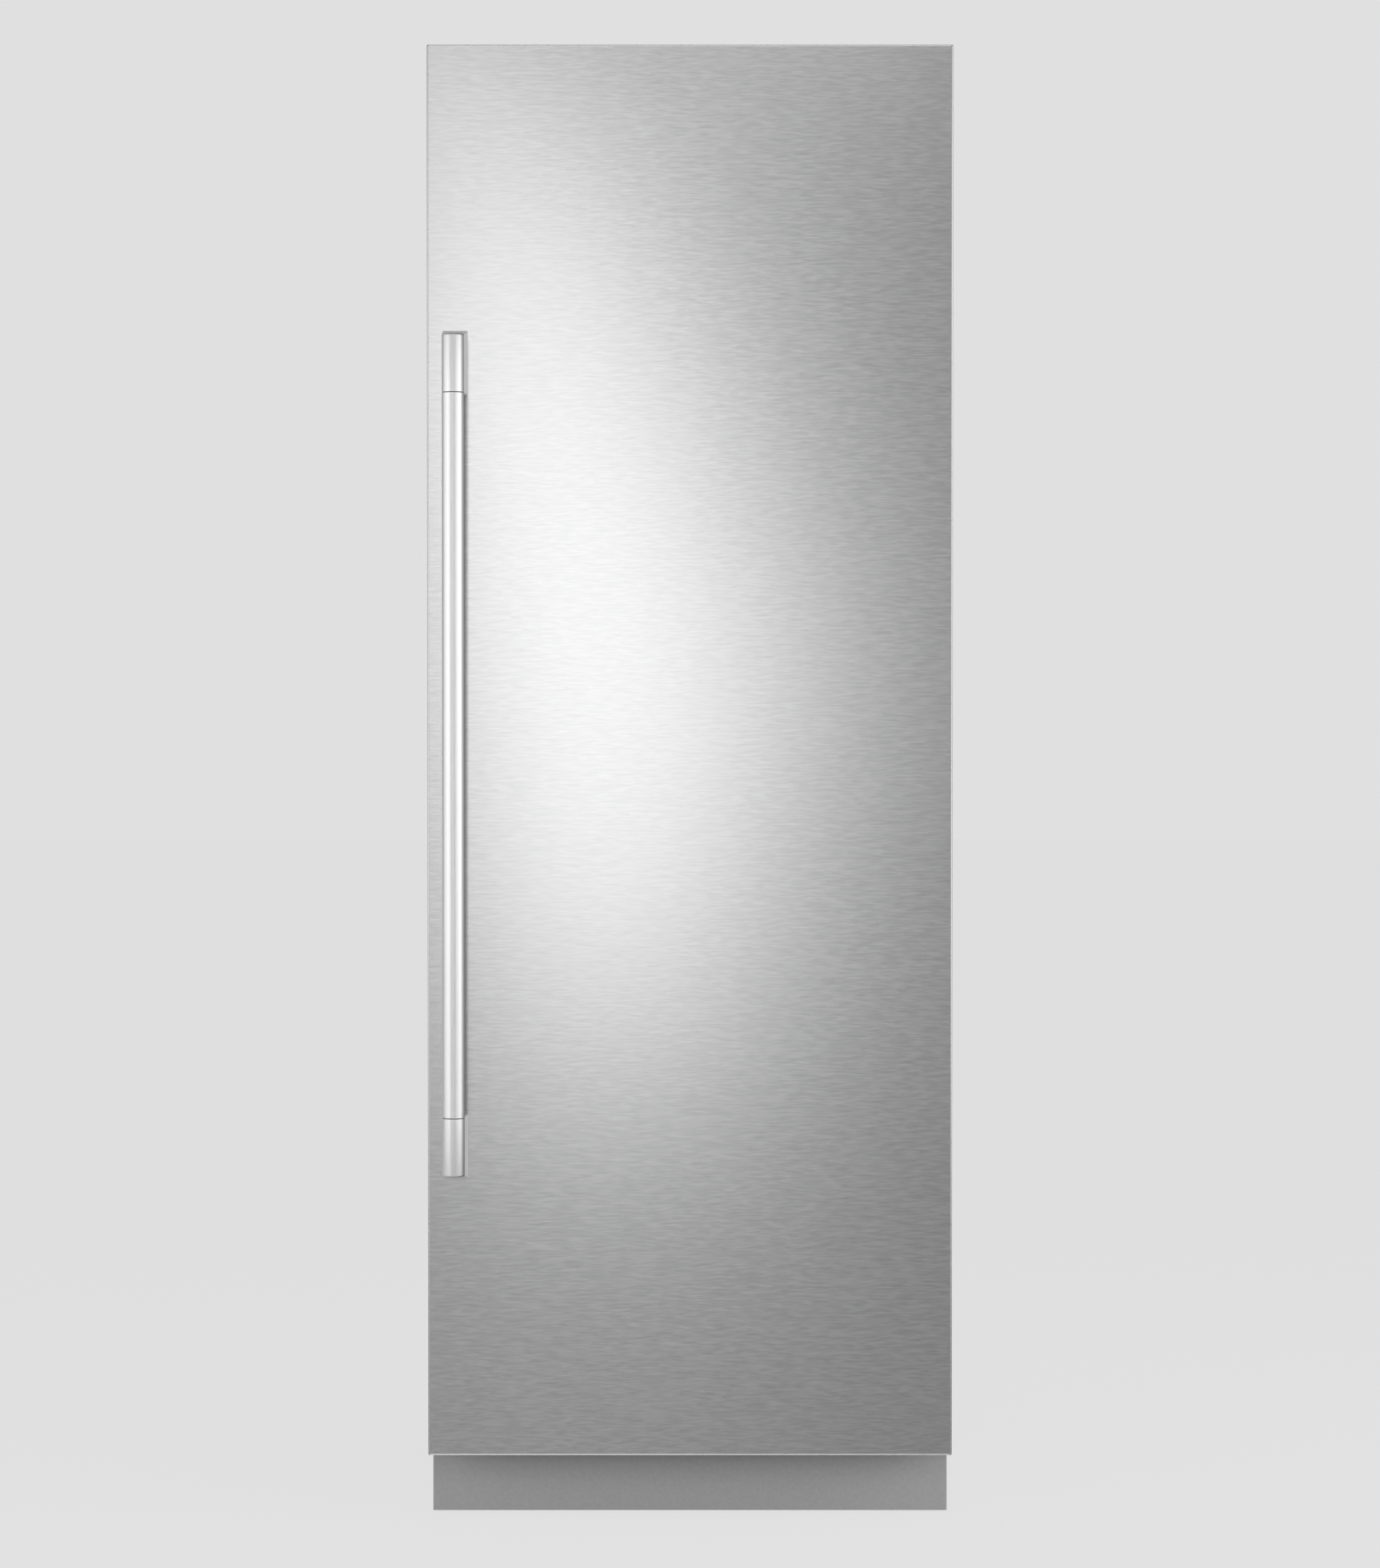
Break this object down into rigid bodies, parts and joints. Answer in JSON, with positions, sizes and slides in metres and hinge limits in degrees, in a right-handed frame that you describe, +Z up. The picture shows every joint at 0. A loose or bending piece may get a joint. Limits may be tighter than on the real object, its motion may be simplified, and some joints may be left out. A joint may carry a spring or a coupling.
{
  "type": "column refrigerator",
  "caption": "Tall single-door column refrigerator with a brushed steel panel, round bar handle, toe kick, shelves, drawers and door bins.",
  "frame": {"origin": "on the floor, at the middle of the appliance's width and of its depth from handle to back", "axes": "+Z up, the door faces -Y, +X to the right as seen from the front"},
  "size_m": [0.756, 0.7128, 2.127],
  "materials": {
    "brushed_stainless": "satin",
    "polished_stainless": "satin",
    "painted_steel": "satin",
    "galvanised_steel": "satin",
    "toe_kick_paint": "matte",
    "black_steel": "satin",
    "foam": "matte",
    "white_liner": "satin",
    "white_trim": "satin",
    "clear_plastic": "gloss",
    "clear_glass": "gloss",
    "light_lens": "matte",
    "grey_rubber": "matte",
    "black_rubber": "matte",
    "black_plastic": "satin",
    "dark_display": "gloss",
    "zinc_steel": "satin",
    "aluminium_fin": "satin",
    "copper": "satin",
    "board_green": "satin",
    "bronze_bush": "satin"
  },
  "bodies": {
    "cabinet": {"air_fan_motor": "black_plastic", "anti_tip_angles": "zinc_steel", "base_deck": "galvanised_steel", "base_rails": "galvanised_steel", "cabinet_foam": "foam", "case_back": "galvanised_steel", "case_wrap": "painted_steel", "cavity_liner": "white_liner", "compressor": "black_steel", "compressor_grommets": "black_rubber", "compressor_tray": "galvanised_steel", "condenser_coil": "aluminium_fin", "condenser_shroud": "black_plastic", "control_board": "board_green", "control_housing": "white_trim", "display_window": "dark_display", "drain_pan": "black_plastic", "drawer_runners": "white_trim", "duct_cover": "white_liner", "electronics_cover": "black_plastic", "evaporator_coil": "aluminium_fin", "hinge_bracket_bottom": "zinc_steel", "hinge_bracket_top": "zinc_steel", "hinge_pins": "zinc_steel", "levelling_legs": "zinc_steel", "light_bars": "light_lens", "machine_cover": "galvanised_steel", "power_gland": "black_plastic", "refrigerant_pipes": "copper", "roller_axles": "zinc_steel", "shelf_frames": "white_trim", "shelf_glass": "clear_glass", "shelf_tracks": "painted_steel", "toe_kick": "toe_kick_paint"},
    "door": {"door_panel": "brushed_stainless", "door_core": "foam", "inner_door_shell": "painted_steel", "door_foam": "foam", "door_liner": "white_liner", "door_gasket": "grey_rubber", "hinge_bushes": "bronze_bush", "handle_tube": "polished_stainless", "handle_posts": "polished_stainless", "door_bin_low": "clear_plastic", "door_bins_upper": "clear_plastic", "dairy_box": "clear_plastic"},
    "dairy_lid": {"dairy_lid": "clear_plastic"},
    "lower_drawer": {"drawer_lower": "clear_plastic"},
    "middle_drawer": {"drawer_middle": "clear_plastic"},
    "upper_drawer": {"drawer_upper": "clear_plastic"},
    "air_fan": {"air_fan": "black_plastic"},
    "condenser_fan": {"condenser_fan": "black_plastic"},
    "button_power": {"button_power": "white_trim"},
    "button_cooler": {"button_cooler": "white_trim"},
    "button_warmer": {"button_warmer": "white_trim"},
    "roller_left": {"roller_left": "black_rubber"},
    "roller_right": {"roller_right": "black_rubber"}
  },
  "joints": [
    {"name": "door_hinge", "type": "hinge", "parent": "cabinet", "child": "door", "pos_m": [0.356, -0.23856, 0.1137], "axis": [0, 0, 1], "range_deg": [0, 110]},
    {"name": "dairy_lid_hinge", "type": "hinge", "parent": "door", "child": "dairy_lid", "pos_m": [0, -0.13626, 1.964], "axis": [1, 0, 0], "range_deg": [0, 75]},
    {"name": "lower_drawer_slide", "type": "slide", "parent": "cabinet", "child": "lower_drawer", "axis": [0, -1, 0], "range_m": [0, 0.1502]},
    {"name": "middle_drawer_slide", "type": "slide", "parent": "cabinet", "child": "middle_drawer", "axis": [0, -1, 0], "range_m": [0, 0.2002]},
    {"name": "upper_drawer_slide", "type": "slide", "parent": "cabinet", "child": "upper_drawer", "axis": [0, -1, 0], "range_m": [0, 0.2002]},
    {"name": "air_fan_spin", "type": "hinge", "parent": "cabinet", "child": "air_fan", "pos_m": [0, 0.25144, 0.7], "axis": [0, 1, 0], "continuous": true},
    {"name": "condenser_fan_spin", "type": "hinge", "parent": "cabinet", "child": "condenser_fan", "pos_m": [-0.06, 0.26744, 0.1765], "axis": [1, 0, 0], "continuous": true},
    {"name": "button_power_press", "type": "slide", "parent": "cabinet", "child": "button_power", "axis": [0, 1, 0], "range_m": [0, 0.0012], "stiffness_N_per_m": 400},
    {"name": "button_cooler_press", "type": "slide", "parent": "cabinet", "child": "button_cooler", "axis": [0, 1, 0], "range_m": [0, 0.0012], "stiffness_N_per_m": 400},
    {"name": "button_warmer_press", "type": "slide", "parent": "cabinet", "child": "button_warmer", "axis": [0, 1, 0], "range_m": [0, 0.0012], "stiffness_N_per_m": 400},
    {"name": "roller_left_spin", "type": "hinge", "parent": "cabinet", "child": "roller_left", "pos_m": [-0.3418, 0.29644, 0.028], "axis": [1, 0, 0], "continuous": true},
    {"name": "roller_right_spin", "type": "hinge", "parent": "cabinet", "child": "roller_right", "pos_m": [0.3418, 0.29644, 0.028], "axis": [1, 0, 0], "continuous": true}
  ],
  "couplings": [
    {"joint": "lower_drawer_slide", "follows": "door_hinge", "m_per_rad": 0.078131},
    {"joint": "middle_drawer_slide", "follows": "door_hinge", "m_per_rad": 0.10417},
    {"joint": "upper_drawer_slide", "follows": "door_hinge", "m_per_rad": 0.10417}
  ]
}
